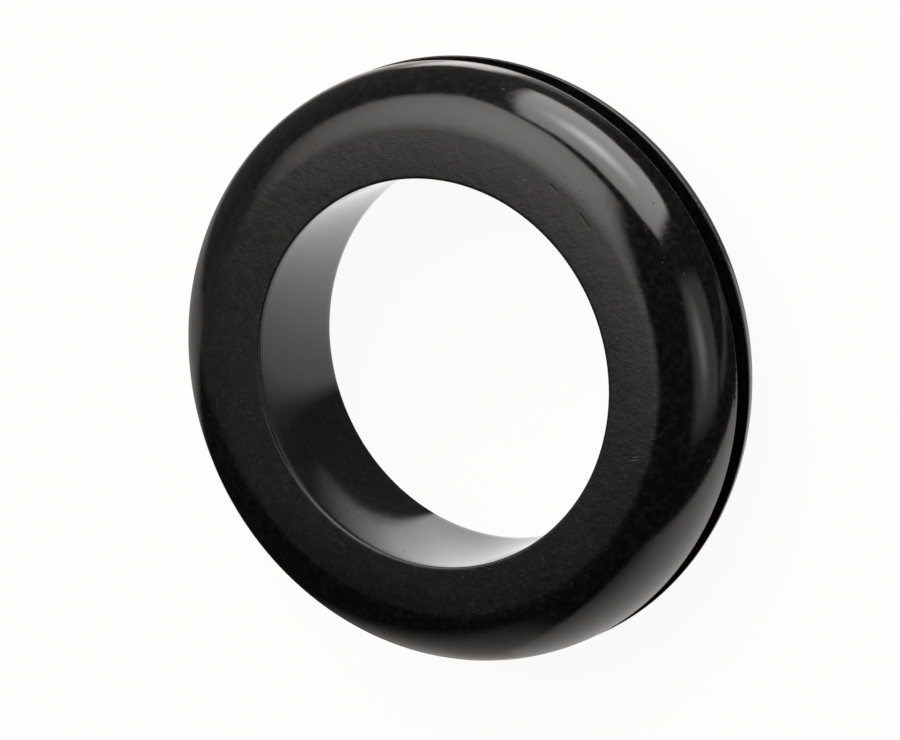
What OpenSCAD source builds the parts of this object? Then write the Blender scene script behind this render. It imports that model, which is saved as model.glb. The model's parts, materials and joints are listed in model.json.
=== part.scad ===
// Open rubber grommet: a short sleeve with two flanges and a groove that grips
// the edge of a panel. Moulded in one piece.
// It lies on its back flange: the bore runs along +Z and the origin is the
// centre of the bore at the back flange's outer face.

/* [Bore] */
// Diameter of the hole that the cable passes through
bore_d = 25; // [16:0.5:30]
// Radius on the two mouths of the bore
mouth_r = 0.15; // [0.1:0.05:0.5]

/* [Flanges] */
// Outer diameter of both flanges
flange_d = 38.7; // [36:0.1:60]
// Thickness of the front flange, which shows when the grommet is fitted
front_t = 4.5; // [2:0.1:10]
// Thickness of the back flange, which is pushed through the panel
back_t = 3.6; // [2:0.1:10]
// Radius that rounds each flange from its flat face to its outer edge
rim_r = 4.3; // [1:0.1:6]

/* [Groove] */
// Width of the groove, the same as the thickness of the panel that it grips
groove_w = 1.6; // [0.8:0.1:6]
// Diameter at the bottom of the groove, the same as the hole in the panel
groove_d = 32; // [27:0.5:36]
// Radius in the two corners at the bottom of the groove
root_r = 0.3; // [0.1:0.05:0.35]

/* [Hidden] */
$fn = 96;
bore_rad = bore_d / 2;
flange_rad = flange_d / 2;
groove_rad = groove_d / 2;
total_t = back_t + groove_w + front_t;

// Radius of the flat ring on the outer face of a flange of thickness t. One
// thinner than its rim's radius holds only the lower part of the rim's curve,
// which still reaches the flange's full diameter, at the groove.
function flat_rad(t) = flange_rad - sqrt(pow(rim_r, 2) - pow(max(0, rim_r - t), 2));

// Half section of one flange, flat face down, from the axis outwards
module flange_section(t) {
    intersection() {
        union() {
            square([flat_rad(t), t]);
            translate([flat_rad(t), rim_r])
                circle(r = rim_r);
            translate([0, rim_r])
                square([flange_rad, t]);
        }
        square([flange_d, t]);
    }
}

// Half section of the neck between the flanges, with its corners rounded out
// to the flanges' inner faces
module neck_section() {
    difference() {
        square([groove_rad + root_r, groove_w]);
        for (y = [root_r, groove_w - root_r])
            translate([groove_rad + root_r, y])
                circle(r = root_r);
        translate([groove_rad, root_r])
            square([2 * root_r, groove_w - 2 * root_r]);
    }
}

// The corner that is cut off at the lower mouth of the bore, outside its round
module mouth_section() {
    difference() {
        square([bore_rad + mouth_r, mouth_r]);
        translate([bore_rad + mouth_r, mouth_r])
            circle(r = mouth_r);
    }
}

// Half section of all that is cut away for the bore
module bore_section() {
    square([bore_rad, total_t]);
    mouth_section();
    translate([0, total_t])
        mirror([0, 1])
            mouth_section();
}

module grommet() {
    color([0.11, 0.11, 0.115])
        rotate_extrude()
            difference() {
                union() {
                    flange_section(back_t);
                    translate([0, back_t])
                        neck_section();
                    translate([0, total_t])
                        mirror([0, 1])
                            flange_section(front_t);
                }
                bore_section();
            }
}

grommet();
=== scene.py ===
import json
import math

import bpy
from mathutils import Matrix, Vector


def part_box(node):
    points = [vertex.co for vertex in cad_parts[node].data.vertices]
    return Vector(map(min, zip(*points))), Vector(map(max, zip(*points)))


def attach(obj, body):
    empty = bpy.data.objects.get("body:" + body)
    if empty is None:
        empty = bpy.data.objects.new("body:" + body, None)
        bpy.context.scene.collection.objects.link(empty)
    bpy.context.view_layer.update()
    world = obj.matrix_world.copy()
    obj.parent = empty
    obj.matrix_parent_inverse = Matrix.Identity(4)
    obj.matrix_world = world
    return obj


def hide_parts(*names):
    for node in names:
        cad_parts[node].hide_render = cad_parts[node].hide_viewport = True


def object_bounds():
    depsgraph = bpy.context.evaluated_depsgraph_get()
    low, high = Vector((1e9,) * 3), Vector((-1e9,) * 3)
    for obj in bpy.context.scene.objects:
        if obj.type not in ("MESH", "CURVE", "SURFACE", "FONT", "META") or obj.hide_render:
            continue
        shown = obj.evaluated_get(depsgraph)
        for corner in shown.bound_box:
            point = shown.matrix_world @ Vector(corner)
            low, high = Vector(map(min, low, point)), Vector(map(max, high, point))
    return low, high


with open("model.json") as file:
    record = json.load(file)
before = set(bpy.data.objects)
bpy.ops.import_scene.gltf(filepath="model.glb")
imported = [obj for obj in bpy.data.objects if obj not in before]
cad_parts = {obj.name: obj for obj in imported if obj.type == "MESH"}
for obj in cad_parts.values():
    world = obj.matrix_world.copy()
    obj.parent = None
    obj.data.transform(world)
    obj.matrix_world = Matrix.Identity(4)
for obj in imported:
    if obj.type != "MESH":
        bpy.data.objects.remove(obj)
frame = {"nodes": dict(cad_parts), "record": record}
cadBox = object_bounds()
scene = bpy.context.scene
print("frame loaded:", sorted(frame["nodes"]))


# helpers for node trees
def addNode(tree, kind, **settings):
    node = tree.nodes.new(kind)
    for key, value in settings.items():
        setattr(node, key, value)
    return node


def feed(tree, socket, value):
    if isinstance(value, bpy.types.NodeSocket):
        tree.links.new(value, socket)
    else:
        socket.default_value = value


def calc(tree, operation, *values, clamp=False):
    node = addNode(tree, "ShaderNodeMath", operation=operation, use_clamp=clamp)
    for socket, value in zip(node.inputs, values):
        feed(tree, socket, value)
    return node.outputs[0]


def chain(tree, operation, values):
    result = values[0]
    for value in values[1:]:
        result = calc(tree, operation, result, value)
    return result


def sums(tree):
    # adding, taking away, multiplying and dividing in a tree
    def plus(*terms):
        return chain(tree, "ADD", terms)

    def minus(a, b):
        return calc(tree, "SUBTRACT", a, b)

    def times(*factors):
        return chain(tree, "MULTIPLY", factors)

    def over(a, b):
        return calc(tree, "DIVIDE", a, b)

    return plus, minus, times, over


def ramp(tree, value, start, end, low=0.0, high=1.0):
    # a smooth step from low at start to high at end
    node = addNode(tree, "ShaderNodeMapRange", interpolation_type="SMOOTHSTEP")
    for socket, setting in zip(node.inputs, (value, start, end, low, high)):
        feed(tree, socket, setting)
    return node.outputs[0]


# the sizes of the CAD model come from the frame, in metres
def mountNamed(name):
    return next(mount for mount in frame["record"]["mounts"] if mount["name"] == name)


def frameSizes():
    low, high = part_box("grommet")
    bore, groove = mountNamed("bore"), mountNamed("panel_groove")
    grooveWidth = groove["dims"]["length_mm"] / 1000
    backThickness = groove["pos_m"][2] - grooveWidth / 2
    return {
        "boreRadius": bore["dims"]["r_mm"] / 1000,
        "flangeRadius": high.x,
        "grooveRadius": groove["dims"]["r_mm"] / 1000,
        "backThickness": backThickness,
        "grooveWidth": grooveWidth,
        "frontThickness": high.z - low.z - backThickness - grooveWidth,
    }


frameSize = frameSizes()

# What the grommet's shape adds to those sizes, in metres, radians and steps.
grommetValues = {
    "rimRadius": 0.0043,        # from a flange's flat face round to its outer edge
    "frontStartSlope": math.radians(1.3),       # how steeply the face falls away beside the bore
    "frontSlope": math.radians(4),              # and at its outer end
    "backStartSlope": math.radians(0.2),        # the back lies flat
    "backSlope": math.radians(0.2),
    "shoulderRadius": 0.0032,   # the tighter bend between the face and the rim
    "shoulderSlope": math.radians(16.6),
    "mouthRadius": 0.00009,     # at both ends of the bore
    "lipRadius": 0.00007,       # the crisp edges on both sides of the groove
    "rootRadius": 0.0003,       # at the bottom of the groove
    "segments": 384,            # around the bore
    "rimSteps": 44,
    "smallSteps": 5,            # on mouths, lips and roots
    "wallSteps": 20,            # on the long stretches
    "rippleHeight": 0.000016,   # how far the moulded surface waves
    "rippleSize": 0.0018,
    "seed": 4,
}


def addInput(tree, name, kind, value):
    socket = tree.interface.new_socket(name=name, in_out="INPUT", socket_type=kind)
    if kind != "NodeSocketMaterial":
        socket.default_value = value
    return socket


def point(tree, x, y):
    node = addNode(tree, "ShaderNodeCombineXYZ")
    feed(tree, node.inputs["X"], x)
    feed(tree, node.inputs["Y"], y)
    return node.outputs[0]


def straight(tree, start, end, steps):
    line = addNode(tree, "GeometryNodeCurvePrimitiveLine")
    feed(tree, line.inputs["Start"], point(tree, *start))
    feed(tree, line.inputs["End"], point(tree, *end))
    spread = addNode(tree, "GeometryNodeResampleCurve")
    tree.links.new(line.outputs[0], spread.inputs["Curve"])
    feed(tree, spread.inputs["Count"], steps)
    return spread.outputs[0]


def rounded(tree, centre, radius, start, sweep, steps):
    arc = addNode(tree, "GeometryNodeCurveArc")
    feed(tree, arc.inputs["Resolution"], steps)
    feed(tree, arc.inputs["Radius"], radius)
    feed(tree, arc.inputs["Start Angle"], start)
    feed(tree, arc.inputs["Sweep Angle"], sweep)
    place = addNode(tree, "GeometryNodeTransform")
    tree.links.new(arc.outputs[0], place.inputs["Geometry"])
    tree.links.new(point(tree, *centre), place.inputs["Translation"])
    return place.outputs[0]


def bowed(tree, start, middle, end, steps):
    curve = addNode(tree, "GeometryNodeCurveQuadraticBezier")
    feed(tree, curve.inputs["Resolution"], steps)
    for name, place in (("Start", start), ("Middle", middle), ("End", end)):
        tree.links.new(point(tree, *place), curve.inputs[name])
    return curve.outputs[0]


def joined(tree, parts):
    join = addNode(tree, "GeometryNodeJoinGeometry")
    for part in parts:
        tree.links.new(part, join.inputs[0])
    return join.outputs[0]


flangeInputs = ("Bore Radius", "Flange Radius", "Groove Radius", "Thickness", "Start Slope",
                "End Slope", "Rim Radius", "Shoulder Radius", "Shoulder Slope", "Mouth Radius",
                "Lip Radius", "Root Radius")
stepInputs = ("Rim Steps", "Small Steps", "Wall Steps")


def flangeOutlineTree():
    # half section of one flange, flat face down, from its bore mouth out and back to the groove's bottom
    tree = bpy.data.node_groups.new("flangeOutline", "GeometryNodeTree")
    for name in flangeInputs:
        addInput(tree, name, "NodeSocketFloat", 0.001)
    for name in stepInputs:
        addInput(tree, name, "NodeSocketInt", 8)
    tree.interface.new_socket(name="Outline", in_out="OUTPUT", socket_type="NodeSocketGeometry")
    given = addNode(tree, "NodeGroupInput").outputs
    (bore, flange, groove, thickness, startSlope, endSlope, rim, shoulder, bend, mouth, lip,
     root) = (given[name] for name in flangeInputs)
    rimSteps, smallSteps, wallSteps = (given[name] for name in stepInputs)
    quarter = math.pi / 2

    plus, minus, times, over = sums(tree)

    def legOf(slant, leg):
        return calc(tree, "SQRT", minus(calc(tree, "POWER", slant, 2), calc(tree, "POWER", leg, 2)))

    def sine(angle):
        return calc(tree, "SINE", angle)

    def cosine(angle):
        return calc(tree, "COSINE", angle)

    def tangent(angle):
        return calc(tree, "TANGENT", angle)

    # the face bows down a little towards the shoulder, and the shoulder and the rim go on from its slope
    mouthX, rootX = plus(bore, mouth), plus(groove, root)
    inset = minus(rim, shoulder)
    reach = plus(times(inset, sine(bend)), times(shoulder, sine(endSlope)))
    halfWidth = times(minus(plus(minus(flange, rim), reach), mouthX), 0.5)
    faceDrop = times(halfWidth, plus(tangent(startSlope), tangent(endSlope)))
    shoulderY = plus(faceDrop, times(shoulder, cosine(endSlope)))
    rimY = plus(shoulderY, times(inset, cosine(bend)))
    # a flange thinner than its rim's radius holds only the lower part of the rim's curve
    cut = calc(tree, "MAXIMUM", minus(rimY, thickness), 0)
    rimX = minus(flange, legOf(rim, cut))
    shoulderX, faceX = plus(rimX, times(inset, sine(bend))), plus(rimX, reach)
    faceMiddle = times(plus(mouthX, faceX), 0.5)
    middleDrop = times(minus(faceMiddle, mouthX), tangent(startSlope))
    lipLeg = calc(tree, "MAXIMUM", plus(minus(rimY, thickness), lip), 0)
    lipX = plus(rimX, legOf(minus(rim, lip), lipLeg))
    lipY = minus(thickness, lip)
    missing = calc(tree, "ARCSINE", over(lipLeg, minus(rim, lip)))
    wallTop = calc(tree, "MAXIMUM", lipY, rimY)
    wall = addNode(tree, "GeometryNodeSwitch", input_type="GEOMETRY")
    isTall = addNode(tree, "FunctionNodeCompare", operation="GREATER_THAN")
    tree.links.new(lipY, isTall.inputs["A"])
    tree.links.new(rimY, isTall.inputs["B"])
    tree.links.new(isTall.outputs[0], wall.inputs["Switch"])
    tree.links.new(straight(tree, (flange, rimY), (flange, wallTop), 3), wall.inputs["True"])

    outline = joined(tree, [
        rounded(tree, (mouthX, mouth), mouth, math.pi, quarter, smallSteps),
        bowed(tree, (mouthX, 0), (faceMiddle, middleDrop), (faceX, faceDrop), wallSteps),
        rounded(tree, (shoulderX, shoulderY), shoulder, minus(endSlope, quarter),
                minus(bend, endSlope), wallSteps),
        rounded(tree, (rimX, rimY), rim, minus(bend, quarter), minus(minus(quarter, bend), missing),
                rimSteps),
        wall.outputs[0],
        rounded(tree, (lipX, lipY), lip, times(missing, -1), plus(missing, quarter), smallSteps),
        straight(tree, (lipX, thickness), (rootX, thickness), wallSteps),
        rounded(tree, (rootX, plus(thickness, root)), root, -quarter, -quarter, smallSteps),
    ])
    tree.links.new(outline, addNode(tree, "NodeGroupOutput").inputs["Outline"])
    return tree


weldDistance = 1e-6       # the ends of the section's parts meet closer than this
sizeInputs = ("Bore Radius", "Flange Radius", "Groove Radius", "Back Thickness", "Groove Width",
              "Front Thickness", "Back Start Slope", "Back Slope", "Front Start Slope", "Front Slope",
              "Rim Radius", "Shoulder Radius", "Shoulder Slope", "Mouth Radius", "Lip Radius",
              "Root Radius", "Ripple Height", "Ripple Size")
countInputs = ("Segments", "Rim Steps", "Small Steps", "Wall Steps", "Seed")


def grommetTree():
    flangeTree = flangeOutlineTree()
    tree = bpy.data.node_groups.new("turnedGrommet", "GeometryNodeTree")
    for name in sizeInputs:
        addInput(tree, name, "NodeSocketFloat", 0.001)
    for name in countInputs:
        addInput(tree, name, "NodeSocketInt", 8)
    addInput(tree, "Rubber", "NodeSocketMaterial", None)
    tree.interface.new_socket(name="Grommet", in_out="OUTPUT", socket_type="NodeSocketGeometry")
    given = addNode(tree, "NodeGroupInput").outputs
    plus, minus, times, over = sums(tree)

    def flange(side):
        node = addNode(tree, "GeometryNodeGroup", node_tree=flangeTree)
        own = {"Thickness": f"{side} Thickness", "Start Slope": f"{side} Start Slope",
               "End Slope": f"{side} Slope"}
        for name in flangeInputs + stepInputs:
            tree.links.new(given[own.get(name, name)], node.inputs[name])
        return node.outputs[0]

    grooveStart = given["Back Thickness"]
    grooveEnd = plus(grooveStart, given["Groove Width"])
    total = plus(grooveEnd, given["Front Thickness"])
    turned = addNode(tree, "GeometryNodeTransform")   # the front flange is the same section, upside down
    turned.inputs["Scale"].default_value = (1, -1, 1)
    tree.links.new(flange("Front"), turned.inputs["Geometry"])
    tree.links.new(point(tree, 0, total), turned.inputs["Translation"])
    backwards = addNode(tree, "GeometryNodeReverseCurve")
    tree.links.new(turned.outputs[0], backwards.inputs["Curve"])
    groove, bore = given["Groove Radius"], given["Bore Radius"]
    root, mouth = given["Root Radius"], given["Mouth Radius"]
    section = joined(tree, [
        flange("Back"),
        straight(tree, (groove, plus(grooveStart, root)), (groove, minus(grooveEnd, root)), 4),
        backwards.outputs[0],
        straight(tree, (bore, minus(total, mouth)), (bore, mouth), given["Wall Steps"]),
    ])

    # the section goes round the bore on a circle as wide as the bore
    ring = addNode(tree, "GeometryNodeCurvePrimitiveCircle")
    tree.links.new(given["Segments"], ring.inputs["Resolution"])
    tree.links.new(bore, ring.inputs["Radius"])
    inward = addNode(tree, "GeometryNodeTransform")
    inward.inputs["Scale"].default_value = (1, -1, 1)
    tree.links.new(section, inward.inputs["Geometry"])
    tree.links.new(point(tree, times(bore, -1), 0), inward.inputs["Translation"])
    sweep = addNode(tree, "GeometryNodeCurveToMesh")
    tree.links.new(ring.outputs[0], sweep.inputs["Curve"])
    tree.links.new(inward.outputs[0], sweep.inputs["Profile Curve"])
    weld = addNode(tree, "GeometryNodeMergeByDistance")
    weld.inputs["Distance"].default_value = weldDistance
    tree.links.new(sweep.outputs[0], weld.inputs["Geometry"])
    outward = addNode(tree, "GeometryNodeFlipFaces")
    tree.links.new(weld.outputs[0], outward.inputs[0])

    # the ripple of the moulded surface
    place = addNode(tree, "GeometryNodeInputPosition").outputs[0]
    noise = addNode(tree, "ShaderNodeTexNoise", noise_dimensions="4D")
    noise.inputs["Detail"].default_value = 1
    tree.links.new(place, noise.inputs["Vector"])
    tree.links.new(given["Seed"], noise.inputs["W"])
    tree.links.new(over(1, given["Ripple Size"]), noise.inputs["Scale"])
    swell = times(minus(noise.outputs["Fac"], 0.5), given["Ripple Height"])
    lift = addNode(tree, "ShaderNodeVectorMath", operation="SCALE")
    tree.links.new(addNode(tree, "GeometryNodeInputNormal").outputs[0], lift.inputs[0])
    tree.links.new(swell, lift.inputs["Scale"])
    ripple = addNode(tree, "GeometryNodeSetPosition")
    tree.links.new(outward.outputs[0], ripple.inputs["Geometry"])
    tree.links.new(lift.outputs[0], ripple.inputs["Offset"])

    smooth = addNode(tree, "GeometryNodeSetShadeSmooth")
    tree.links.new(ripple.outputs[0], smooth.inputs["Geometry"])
    real = addNode(tree, "GeometryNodeRealizeInstances")
    tree.links.new(smooth.outputs[0], real.inputs[0])
    coat = addNode(tree, "GeometryNodeSetMaterial")
    tree.links.new(real.outputs[0], coat.inputs["Geometry"])
    tree.links.new(given["Rubber"], coat.inputs["Material"])
    tree.links.new(coat.outputs[0], addNode(tree, "NodeGroupOutput").inputs["Grommet"])
    return tree


def makeGrommet(rubber):
    tree = grommetTree()
    blank = bpy.data.objects.new("turning", bpy.data.meshes.new("turning"))
    scene.collection.objects.link(blank)
    modifier = blank.modifiers.new("turned", "NODES")
    modifier.node_group = tree
    given = {**frameSize, **grommetValues, "rubber": rubber}
    for item in tree.interface.items_tree:
        if item.in_out == "INPUT":
            words = item.name.replace(" ", "")
            modifier[item.identifier] = given[words[0].lower() + words[1:]]
    shape = blank.evaluated_get(bpy.context.evaluated_depsgraph_get())
    mesh = bpy.data.meshes.new_from_object(shape)
    blank.modifiers.remove(modifier)
    bpy.data.objects.remove(blank)
    mesh.name = "mouldedGrommet"
    piece = bpy.data.objects.new("mouldedGrommet", mesh)
    scene.collection.objects.link(piece)
    return piece


# The rubber's finish, with lengths in metres.
rubberValues = {
    "colour": (0.0028, 0.0028, 0.0029, 1),
    "dustColour": (0.075, 0.072, 0.07, 1),
    "rimRoughness": 0.095,
    "rimSpeckle": 0.06,         # how much duller the rim's fine specks are
    "speckSize": 0.000304,
    "speckSpread": (0.45, 0.72),
    "faceRoughness": 0.19,
    "faceClouds": 0.06,
    "boreRoughness": 0.12,
    "boreBlend": (0.00002, 0.00012),     # from the bore's wall out to where the face's finish starts
    "grazing": 0.5,             # how much duller the flat faces are when seen at a low angle
    "grazingFacing": (0.55, 0.78),       # how low that is: 0 is straight on, 1 is edge on
    "grazingFade": (0.0168, 0.018),      # radii between which the rim loses it
    "bloom": 0.07,              # the pale haze that rubber sweats out, in patches
    "rimBloom": 0.06,
    "bloomSize": 0.00042,
    "bloomSpread": (0.4, 0.75),
    "dustShare": 0.15,          # of the fine dust that lies on the face
    "dustSize": 0.000247,
    "dustSpread": (0.58, 0.8),
    "faceEdge": 0.0162,         # radius where the dull face turns into the polished rim
    "faceBlend": 0.0002,
    "edgeWander": 0.0002,
    "wanderSize": 0.004,
    "wornTowards": 130,         # degrees round the bore: here the polish reaches further in, without an edge
    "wornSpread": (0.84, 0.98), # cosines of the angles from there between which it begins
    "wornReach": 0.0016,
    "wornBlend": 0.0015,
    "cloudSize": 0.0026,
    "mottleSize": 0.0006,
    "grainSize": 0.00019,
    "mottleDepth": 0.000007,
    "grainDepth": 0.000005,
    "rimDepth": 0.000002,
    "ringSize": 0.00025,        # faint rings that the turned mould left on the face
    "ringStretch": 0.0008,      # the larger, the sooner a ring breaks up along its way round
    "ringDepth": 0.0000003,
    "pitSpacing": 0.0006,
    "pitRadius": 0.00008,
    "pitDepth": 0.000012,
    "pitShare": (0.3, 0.8),     # of the spots, those that are pits, and then those that hold dust
    "dustySpotShare": (0.2, 0.05),
    "dustySpotHold": (0.05, 0.5),        # how pale those are on the rim, and on the face
    "flashSize": 0.00025,       # the uneven trace of moulding flash on the lips beside the groove
    "flashHeight": 0.00002,
    "flashReach": (0.0003, 0.0001),      # how far inside the outer edge it starts and is full
    "flashAcross": (0.0013, 0.001),      # and how far from the middle of the groove
    "grooveHalf": (0.0011, 0.0009),      # the groove's own faces lie within this of its middle
    "frontHeight": (0.009, 0.0092),      # above this the marks of the front show
    "ior": 1.5,
    "seed": 7,
}
# Small marks on the front, in degrees and millimetres: azimuth and radius of the middle, heading,
# length, width and depth, then how much pale dust it holds and how much duller it is.
marks = {
    "upperNick": (-130.2, 14.93, -99, 0.6, 0.05, 0.004, 0.45, 0),
    "lowerNick": (-131.1, 14.9, -103, 0.62, 0.05, 0.004, 0.45, 0),
    "scratchStart": (-124.5, 15.88, -105, 0.55, 0.05, 0.003, 0.2, 0),
    "scratchBend": (-123.3, 16.25, -60, 0.56, 0.05, 0.003, 0.25, 0),
    "scratchEnd": (-121.7, 16.51, -64, 0.5, 0.06, 0.002, 0.12, 0),
    "upperScuff": (-58.9, 15.36, -157, 0.8, 0.15, 0.014, 0, 0.45),
    "lowerScuff": (-69.7, 15.29, -166, 1.4, 0.15, 0.014, 0, 0.45),
    "grainOfSand": (-51.4, 14.63, 0, 0.2, 0.1, 0, 0.9, 0),
}


def rubberMaterial():
    material = bpy.data.materials.new("mouldedRubber")
    material.use_nodes = True
    tree = material.node_tree
    tree.nodes.clear()
    values = rubberValues
    shader = addNode(tree, "ShaderNodeBsdfPrincipled")
    output = addNode(tree, "ShaderNodeOutputMaterial")
    tree.links.new(shader.outputs[0], output.inputs["Surface"])
    place = addNode(tree, "ShaderNodeTexCoord").outputs["Object"]
    split = addNode(tree, "ShaderNodeSeparateXYZ")
    tree.links.new(place, split.inputs[0])
    x, y, z = split.outputs
    plus, minus, times, over = sums(tree)

    def combine(*parts):
        node = addNode(tree, "ShaderNodeCombineXYZ")
        for part, socket in zip(parts, node.inputs):
            feed(tree, socket, part)
        return node.outputs[0]

    def noise(size, detail, seed, vector=place):
        node = addNode(tree, "ShaderNodeTexNoise", noise_dimensions="4D")
        tree.links.new(vector, node.inputs["Vector"])
        node.inputs["W"].default_value = values["seed"] + seed
        node.inputs["Scale"].default_value = 1 / size
        node.inputs["Detail"].default_value = detail
        return node.outputs["Fac"]

    def mark(azimuth, radius, heading, length, width):
        turn, run = math.radians(azimuth), math.radians(heading)
        middle = (radius * math.cos(turn) / 1000, radius * math.sin(turn) / 1000)
        fromX, fromY = minus(x, middle[0]), minus(y, middle[1])
        lengthwise = plus(times(fromX, math.cos(run)), times(fromY, math.sin(run)))
        crosswise = plus(times(fromY, math.cos(run)), times(fromX, -math.sin(run)))
        ends = ramp(tree, calc(tree, "ABSOLUTE", lengthwise), length / 2000, length / 4000)
        sides = ramp(tree, calc(tree, "ABSOLUTE", crosswise), width / 1000, 0)
        return times(ends, sides, ramp(tree, z, *values["frontHeight"]))

    radius = calc(tree, "SQRT", plus(times(x, x), times(y, y)))
    grooveMiddle = frameSize["backThickness"] + frameSize["grooveWidth"] / 2
    fromGroove = calc(tree, "ABSOLUTE", minus(z, grooveMiddle))
    clouds = noise(values["cloudSize"], 2, 0)
    mottle = noise(values["mottleSize"], 3, 1)
    grain = noise(values["grainSize"], 1, 2)
    around = combine(times(over(x, radius), values["ringStretch"]),
                     times(over(y, radius), values["ringStretch"]), radius)
    rings = noise(values["ringSize"], 2, 3, around)

    # where the dull face ends, its edge wandering a little
    wander = times(minus(noise(values["wanderSize"], 2, 4), 0.5), 4 * values["edgeWander"])
    side = math.radians(values["wornTowards"])
    towards = over(plus(times(x, math.cos(side)), times(y, math.sin(side))), radius)
    worn = ramp(tree, towards, *values["wornSpread"])
    edge = plus(values["faceEdge"], times(worn, -values["wornReach"]))
    blend = plus(values["faceBlend"], times(worn, values["wornBlend"]))
    face = ramp(tree, plus(radius, wander), plus(edge, blend), minus(edge, blend))
    wall, clearOfWall = (frameSize["boreRadius"] + past for past in values["boreBlend"])
    inBore = ramp(tree, radius, clearOfWall, wall)
    face = times(face, minus(1, inBore))

    # scattered pits and grains of dust, one in each cell that is picked
    cells = addNode(tree, "ShaderNodeTexVoronoi")
    tree.links.new(place, cells.inputs["Vector"])
    cells.inputs["Scale"].default_value = 1 / values["pitSpacing"]
    picked = addNode(tree, "ShaderNodeSeparateColor")
    tree.links.new(cells.outputs["Color"], picked.inputs[0])
    spot = ramp(tree, cells.outputs["Distance"], values["pitRadius"] / values["pitSpacing"], 0)
    pits = times(spot, ramp(tree, picked.outputs[0], *values["pitShare"]))
    grains = times(spot, ramp(tree, picked.outputs[0], *values["dustySpotShare"]))
    grains = times(grains, ramp(tree, face, 0, 1, *values["dustySpotHold"]))

    grooves, dusty, dulled = 0, 0, 0
    for *sizes, depth, dust, dull in marks.values():
        line = mark(*sizes)
        grooves = plus(grooves, times(line, depth / 1000))
        dusty = plus(dusty, times(line, dust))
        dulled = plus(dulled, times(line, dull))

    speck = ramp(tree, noise(values["speckSize"], 2, 5), *values["speckSpread"])
    rim = plus(values["rimRoughness"], times(speck, values["rimSpeckle"]))
    cloudy = times(plus(clouds, mottle, -1), 2 * values["faceClouds"])
    facing = addNode(tree, "ShaderNodeLayerWeight").outputs["Facing"]
    flat = calc(tree, "MAXIMUM", ramp(tree, fromGroove, *values["grooveHalf"]),
                ramp(tree, radius, *reversed(values["grazingFade"])))
    grazing = times(ramp(tree, facing, *values["grazingFacing"], 0, values["grazing"]), flat)
    rough = ramp(tree, face, 0, 1, rim, plus(values["faceRoughness"], cloudy))
    rough = plus(rough, dulled, grazing)
    rough = ramp(tree, inBore, 0, 1, rough, values["boreRoughness"])

    dust = ramp(tree, noise(values["dustSize"], 1, 6), *values["dustSpread"])
    bloom = ramp(tree, noise(values["bloomSize"], 4, 7), *values["bloomSpread"])
    bloom = times(bloom, ramp(tree, face, 0, 1, values["rimBloom"], values["bloom"]))
    dust = plus(times(dust, face, values["dustShare"]), bloom, grains, dusty)
    paint = addNode(tree, "ShaderNodeMix", data_type="RGBA")
    feed(tree, paint.inputs["Factor"], calc(tree, "MINIMUM", dust, 1))
    paint.inputs["A"].default_value = values["colour"]
    paint.inputs["B"].default_value = values["dustColour"]

    onFace = plus(times(mottle, values["mottleDepth"]), times(grain, values["grainDepth"]),
                  times(rings, values["ringDepth"]))
    lipStart, lipFull = (frameSize["flangeRadius"] - inside for inside in values["flashReach"])
    lips = times(ramp(tree, radius, lipStart, lipFull),
                 ramp(tree, fromGroove, *values["flashAcross"]))
    flash = times(noise(values["flashSize"], 2, 8), values["flashHeight"], lips)
    height = plus(times(onFace, face), times(mottle, values["rimDepth"]), flash)
    height = minus(height, plus(times(pits, values["pitDepth"]), grooves))
    bump = addNode(tree, "ShaderNodeBump")
    bump.inputs["Strength"].default_value = 1
    bump.inputs["Distance"].default_value = 1
    tree.links.new(height, bump.inputs["Height"])

    feed(tree, shader.inputs["Base Color"], paint.outputs["Result"])
    feed(tree, shader.inputs["Roughness"], rough)
    feed(tree, shader.inputs["Normal"], bump.outputs[0])
    shader.inputs["IOR"].default_value = values["ior"]
    return material


# The floor, and the colour of the studio's light.
stageValues = {
    "floorDrop": 0.00003,       # keeps the grain of the back face clear of the floor
    "floorSize": 4.0,
    "floorGlow": 0.94,          # the share of plain white in the floor, which keeps its shadows faint
    "paper": (0.9, 0.9, 0.9, 1),
    "mirroredTint": (1, 0.968, 0.958, 1),       # the warm white of the studio in the rubber
}
# The painted light and painted shadow on the sheet under the bore, which only the bore's wall mirrors:
# painted as if lit from both sides, with a painted shadow of the grommet between. In millimetres from the
# bore's axis; a level of 1 is white.
paintedBoreLight = {
    "rightEdge": 0.85, "rightSlant": 0.22, "rightBlur": 0.65, "rightLevel": 0.45, "rightRise": 0.085,
    "leftEdge": 8.8, "leftSlant": 0.06, "leftBlur": 0.22,
    "leftStart": -0.9, "leftRise": 0.45, "leftMost": 1.7,
    "leftFade": (-10.5, -7.5, 0.75, 1),       # from and to, with the share of the light at each
    "slantFrom": 9, "shadow": 0.055, "rimBlur": 0.1,
}


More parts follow.
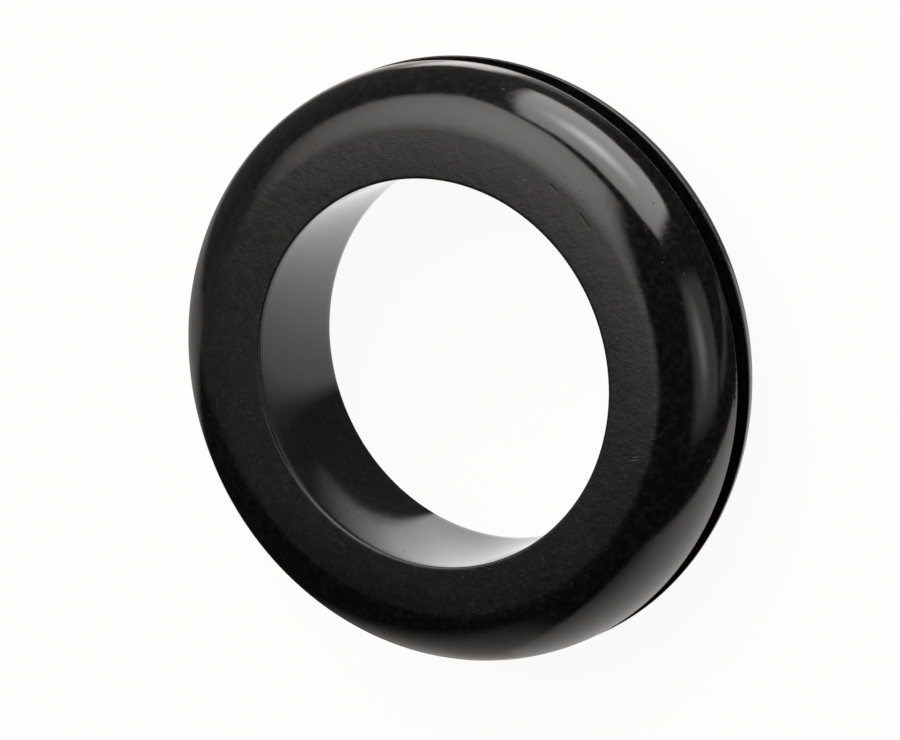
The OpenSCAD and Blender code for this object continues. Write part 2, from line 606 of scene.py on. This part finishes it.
def makeFloor():
    half = stageValues["floorSize"] / 2
    corners = [(-half, -half), (half, -half), (half, half), (-half, half)]
    mesh = bpy.data.meshes.new("floor")
    height = cadBox[0].z - stageValues["floorDrop"]
    mesh.from_pydata([(x, y, height) for x, y in corners], [], [(0, 1, 2, 3)])
    floor = bpy.data.objects.new("floor", mesh)
    scene.collection.objects.link(floor)
    material = bpy.data.materials.new("whitePaper")
    material.use_nodes = True
    tree = material.node_tree
    tree.nodes.clear()

    def mixed(share, first, second):
        mix = addNode(tree, "ShaderNodeMixShader")
        feed(tree, mix.inputs[0], share)
        tree.links.new(first, mix.inputs[1])
        tree.links.new(second, mix.inputs[2])
        return mix.outputs[0]

    paper = addNode(tree, "ShaderNodeBsdfDiffuse")
    paper.inputs["Color"].default_value = stageValues["paper"]
    glow = addNode(tree, "ShaderNodeEmission")
    sheet = mixed(stageValues["floorGlow"], paper.outputs[0], glow.outputs[0])

    # for glossy rays: a painted reflection inside the bore, the sheet's painted light and painted shadow,
    # and nothing outside it, as the studio's lights reach lower than the floor
    place = addNode(tree, "ShaderNodeTexCoord").outputs["Object"]
    scale = addNode(tree, "ShaderNodeVectorMath", operation="SCALE")
    tree.links.new(place, scale.inputs[0])
    scale.inputs["Scale"].default_value = 1000
    split = addNode(tree, "ShaderNodeSeparateXYZ")
    tree.links.new(scale.outputs[0], split.inputs[0])
    x, y = split.outputs["X"], split.outputs["Y"]
    plus, minus, times = sums(tree)[:3]
    lit = paintedBoreLight

    def edge(side, distance, inward):     # a smooth step over a side's edge
        middle, blur = lit[side + "Edge"], lit[side + "Blur"] * inward
        return ramp(tree, distance, middle - blur, middle + blur)

    # painted light from the right and from the left, with a painted shadow of the grommet between them
    slanted = calc(tree, "MULTIPLY_ADD", minus(y, lit["slantFrom"]), -lit["rightSlant"], x)
    right = times(plus(times(x, lit["rightRise"]), lit["rightLevel"]), edge("right", slanted, 1))
    slanted = calc(tree, "MULTIPLY_ADD", x, lit["leftSlant"], y)
    left = times(minus(lit["leftStart"], x), lit["leftRise"])
    left = calc(tree, "MINIMUM", left, lit["leftMost"])
    left = times(left, ramp(tree, x, *lit["leftFade"]), edge("left", slanted, -1))
    level = plus(chain(tree, "MAXIMUM", (right, left, 0)), lit["shadow"])
    # an emission that shows this painted light and painted shadow to glossy rays only
    paintedSheetLight = addNode(tree, "ShaderNodeEmission")
    tree.links.new(level, paintedSheetLight.inputs["Strength"])
    distance = calc(tree, "SQRT", plus(times(x, x), times(y, y)))
    boreRadius = frameSize["boreRadius"] * 1000
    inside = ramp(tree, distance, boreRadius + lit["rimBlur"], boreRadius)
    clear = addNode(tree, "ShaderNodeBsdfTransparent")
    forGlossy = mixed(inside, clear.outputs[0], paintedSheetLight.outputs[0])
    ray = addNode(tree, "ShaderNodeLightPath").outputs
    surface = mixed(ray["Is Glossy Ray"], sheet, forGlossy)
    tree.links.new(surface, addNode(tree, "ShaderNodeOutputMaterial").inputs["Surface"])
    mesh.materials.append(material)
    floor.visible_shadow = False
    return floor


def heading(azimuth, elevation):
    a, e = math.radians(azimuth), math.radians(elevation)
    return Vector((math.cos(a) * math.cos(e), math.sin(a) * math.cos(e), math.sin(e)))


# The studio as the grommet sees it. Angles are in degrees, and a level of 1 is white.
# A panel has corners (azimuth, elevation), the blur of the edge that starts at each corner,
# and a level that rises towards a heading.
panels = {
    "sideBox": dict(corners=((-77.5, 24), (-69, 31), (-19.5, 26), (-17, -27.5), (-66, -24), (-71.5, -17)),
                    blurs=(2, 2, 2, 2.5, 2, 2), level=1.5, rise=3.8, bright=(-44, -18)),
    "lowBox": dict(corners=((-142, 27), (-104, 30), (-92, 21), (-93, -14.5), (-129, -12.5)),
                   blurs=(8, 4, 4, 4, 7), level=0.7),
    "overhead": dict(corners=((-57, 43.5), (-5, 20), (53, 16), (122.5, 70)), blurs=(2.5, 5, 2, 5),
                     level=-4.15, rise=7.8, bright=(-13.5, 50.5)),
    "farWall": dict(corners=((50, 12), (79, 6), (95, 42), (122, 70.5)), blurs=(12, 5, 7, 6),
                    level=0.2),
    "sideWall": dict(corners=((-45, 27), (75, 25), (70, -42), (-40, -42)), blurs=(12, 12, 12, 12),
                     level=0.1),
    "tableLamp": dict(corners=((3, -42), (28, -42), (36, -60), (3, -60)), blurs=(3, 4, 3, 4),
                      level=3.3),
    "lampFoot": dict(corners=((-128, -18), (-122, -17), (-93, -54), (-98, -56)), blurs=(2, 2, 2, 2),
                     level=0.45),
}
# the bright middle of a box: heading, half its width and height, level
cores = {
    "sideBox": dict(azimuth=-44, elevation=5, width=22, height=12, level=6.3),
    "lowBox": dict(azimuth=-112, elevation=13.5, width=19, height=12, level=1.9),
}
# cards that narrow upwards to a peak: half their width is slope * (degrees below the peak) ** power
cards = {
    "rightCard": dict(azimuth=174, peak=34, slope=3.1, power=0.62, blur=2.5,
                      level=-1.05, rise=2.6, bright=(185, -30)),
    "middleCard": dict(azimuth=138, peak=38, slope=0.85, power=0.8, blur=9,
                       level=0.09, rise=0.6, bright=(152, -48)),
    "leftCard": dict(azimuth=75, peak=16, slope=0.48, power=0.8, blur=3,
                     level=0.12, rise=0.5, bright=(75, 20)),
}
sweep = {      # the white sheet under the grommet, and the light that falls beside it
    "level": 0.2, "rise": 2.95, "bright": (65, -20), "top": -58, "blur": 3,
    "darkSide": -62, "darkHalfWidth": 43, "darkBlur": 10, "darkTop": -66,
    "glowLevel": 2.1, "glowTop": -53, "glowBlur": 16,
    "glowSide": 28, "glowHalfWidth": 43, "glowSideBlur": 36,
    "shade": (90, -72), "shadeTop": -61.5, "shadeBlur": 1.5,       # under the back flange
    "shadeWidth": 28, "shadeCore": 20, "shadeDepth": 0.92,
    "ambient": 0.003,
}


def makeWorld():
    world = bpy.data.worlds.new("studio")
    scene.world = world
    world.use_nodes = True
    tree = world.node_tree
    tree.nodes.clear()
    view = addNode(tree, "ShaderNodeTexCoord").outputs["Generated"]
    split = addNode(tree, "ShaderNodeSeparateXYZ")
    tree.links.new(view, split.inputs[0])
    elevation = calc(tree, "DEGREES", calc(tree, "ARCSINE", split.outputs["Z"]))
    plus, minus, times, over = sums(tree)

    def along(direction):     # the cosine to a direction
        dot = addNode(tree, "ShaderNodeVectorMath", operation="DOT_PRODUCT")
        tree.links.new(view, dot.inputs[0])
        dot.inputs[1].default_value = direction
        return dot.outputs["Value"]

    def aside(azimuth):     # degrees to either side of an azimuth
        forwards, sideways = along(heading(azimuth, 0)), along(heading(azimuth + 90, 0))
        return calc(tree, "DEGREES", calc(tree, "ABSOLUTE", calc(tree, "ARCTAN2", sideways, forwards)))

    def brightest(*values):
        return chain(tree, "MAXIMUM", values)

    def rising(level, rise, bright):
        if rise == 0:
            return level
        return brightest(plus(times(along(heading(*bright)), rise), level), 0)

    def below(top, blur):
        return ramp(tree, elevation, top + blur, top - blur)

    def panel(corners, blurs, level, rise=0, bright=(0, 0)):
        points = [heading(*corner) for corner in corners]
        middle = sum(points, Vector((0, 0, 0)))
        light = rising(level, rise, bright)
        for start, end, blur in zip(points, points[1:] + points[:1], blurs):
            inward = start.cross(end).normalized()
            if inward.dot(middle) < 0:
                inward.negate()
            reach = math.sin(math.radians(blur))
            light = times(light, ramp(tree, along(inward), -reach, reach))
        return light

    def core(azimuth, elevation, width, height, level):
        across, up = heading(azimuth + 90, 0), heading(azimuth, elevation + 90)
        flat = over(along(across), math.sin(math.radians(width)))
        tall = over(along(up), math.sin(math.radians(height)))
        offset = calc(tree, "SQRT", plus(times(flat, flat), times(tall, tall)))
        ahead = ramp(tree, along(heading(azimuth, elevation)), 0, 0.2)     # not behind the grommet too
        return times(ramp(tree, offset, 1, 0, 0, level), ahead)

    def card(azimuth, peak, slope, power, blur, level, rise, bright):
        drop = minus(peak, elevation)
        reach = times(calc(tree, "POWER", brightest(drop, 0), power), slope)
        inside = ramp(tree, minus(reach, aside(azimuth)), -blur, blur)
        return times(inside, ramp(tree, drop, -blur, blur), rising(level, rise, bright))

    # the sheet under the grommet: darker to one side, with a glow beside it and a shade near the flange
    dark = ramp(tree, aside(sweep["darkSide"]), sweep["darkHalfWidth"] - sweep["darkBlur"],
                sweep["darkHalfWidth"] + sweep["darkBlur"])
    sheet = times(brightest(times(below(sweep["top"], sweep["blur"]), dark),
                            below(sweep["darkTop"], sweep["blur"])),
                  rising(sweep["level"], sweep["rise"], sweep["bright"]))
    beside = ramp(tree, aside(sweep["glowSide"]), sweep["glowHalfWidth"] + sweep["glowSideBlur"],
                  sweep["glowHalfWidth"] - sweep["glowSideBlur"])
    glow = times(below(sweep["glowTop"], sweep["glowBlur"]), beside, sweep["glowLevel"])
    outer, inner = (math.cos(math.radians(sweep[name])) for name in ("shadeWidth", "shadeCore"))
    shade = times(ramp(tree, along(heading(*sweep["shade"])), outer, inner),
                  below(sweep["shadeTop"], sweep["shadeBlur"]))
    under = times(brightest(sheet, glow), plus(times(shade, -sweep["shadeDepth"]), 1))

    lit = {name: panel(**values) for name, values in panels.items()}
    for name, values in cores.items():
        lit[name] = plus(lit[name], core(**values))
    light = brightest(under, *lit.values(), *(card(**values) for values in cards.values()))
    light = plus(light, sweep["ambient"])

    # the camera sees plain white; the polished rubber mirrors the studio, as white all round would grey it
    ray = addNode(tree, "ShaderNodeLightPath").outputs
    seen = calc(tree, "MAXIMUM", ray["Is Camera Ray"], ray["Is Transmission Ray"])
    level = addNode(tree, "ShaderNodeMix")
    tree.links.new(seen, level.inputs[0])
    tree.links.new(light, level.inputs[2])
    level.inputs[3].default_value = 1
    tint = addNode(tree, "ShaderNodeMix", data_type="RGBA")
    tree.links.new(seen, tint.inputs["Factor"])
    tint.inputs["A"].default_value = stageValues["mirroredTint"]
    tint.inputs["B"].default_value = (1, 1, 1, 1)
    studio = addNode(tree, "ShaderNodeBackground")
    tree.links.new(tint.outputs["Result"], studio.inputs["Color"])
    tree.links.new(level.outputs[0], studio.inputs["Strength"])
    tree.links.new(studio.outputs[0], addNode(tree, "ShaderNodeOutputWorld").inputs["Surface"])


cameraValues = {
    "distance": 1.0,
    "fromBoreAxis": 30.1,       # degrees between the view and the bore's axis
    "roll": -112.0,
    "aimRight": 0.00113,        # how far the middle of the view lies from the front mouth's centre
    "aimUp": 0.00023,
    "lens": 633,
    "clip": (0.01, 20),
}


def makeCamera():
    lens = bpy.data.cameras.new("camera")
    lens.lens = cameraValues["lens"]
    lens.clip_start, lens.clip_end = cameraValues["clip"]
    camera = bpy.data.objects.new("camera", lens)
    scene.collection.objects.link(camera)
    turn = (Matrix.Rotation(math.radians(cameraValues["fromBoreAxis"]), 4, "X")
            @ Matrix.Rotation(math.radians(cameraValues["roll"]), 4, "Z"))
    right, up, back = (turn.col[i].to_3d() for i in range(3))
    mouth = Vector((0, 0, cadBox[1].z))
    place = (mouth + right * cameraValues["aimRight"] + up * cameraValues["aimUp"]
             + back * cameraValues["distance"])
    camera.matrix_world = Matrix.Translation(place) @ turn
    scene.camera = camera


grommet = makeGrommet(rubberMaterial())
print("grommet:", len(grommet.data.vertices), "vertices,", len(grommet.data.polygons), "faces")
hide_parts("grommet")
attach(grommet, "root")

makeFloor()
makeWorld()
makeCamera()
scene.view_settings.view_transform = "Standard"
print("floor, studio light and camera ready")
